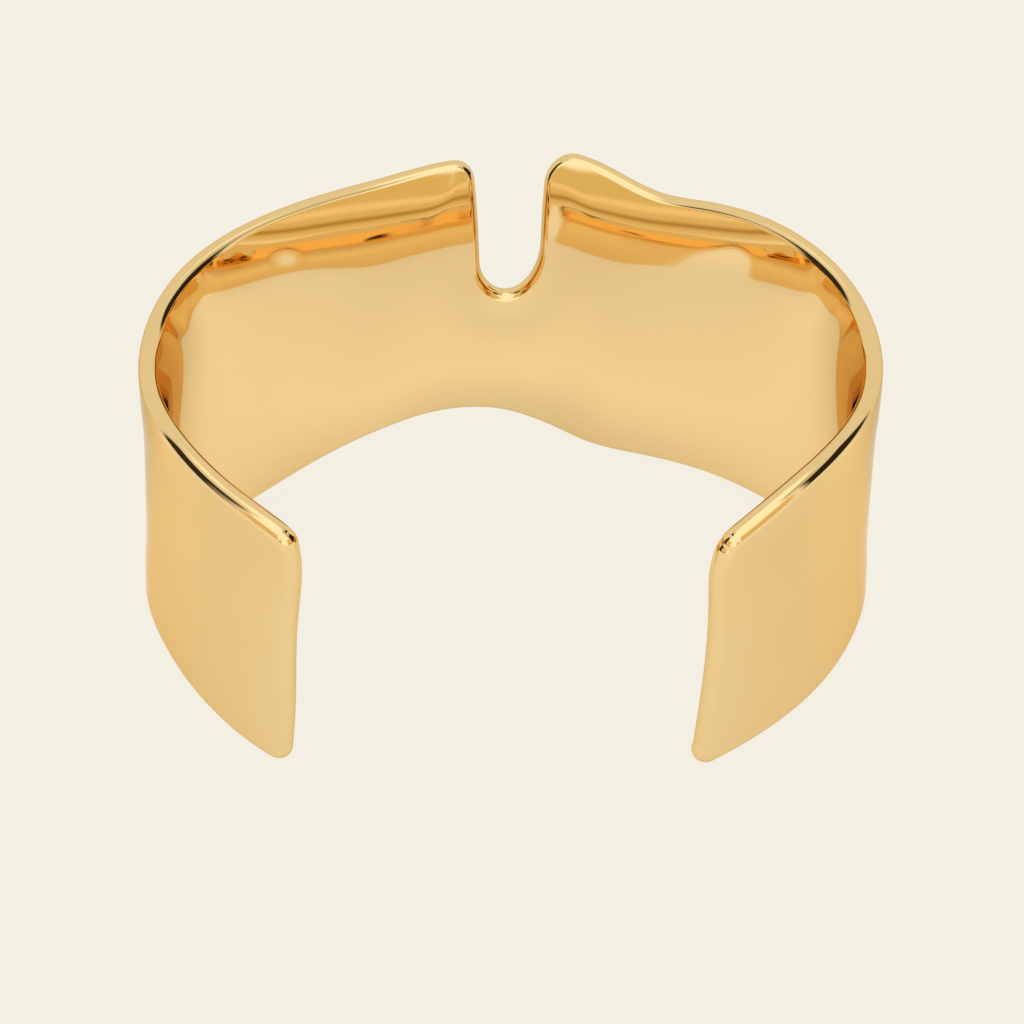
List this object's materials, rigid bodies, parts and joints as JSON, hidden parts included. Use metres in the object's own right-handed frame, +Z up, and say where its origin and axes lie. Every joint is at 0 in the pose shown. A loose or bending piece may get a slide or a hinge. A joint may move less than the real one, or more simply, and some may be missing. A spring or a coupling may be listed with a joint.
{
  "type": "cuff bracelet",
  "caption": "Open cuff bracelet: a curved band of polished gold-coloured sheet, flared at the top of its back, with a front gap and a U-shaped slot in the upper edge.",
  "frame": {"origin": "middle of the overall box, on the floor under the lowest points of the lower rim", "axes": "+Z up along the wrist axis, -Y towards the gap between the two ends, +X to the right as seen from the gap"},
  "size_m": [0.0638, 0.0464, 0.0296],
  "materials": {
    "polished_gold": "mirror polished yellow gold plating"
  },
  "bodies": {
    "root": {"cuff": "polished_gold"}
  },
  "joints": []
}
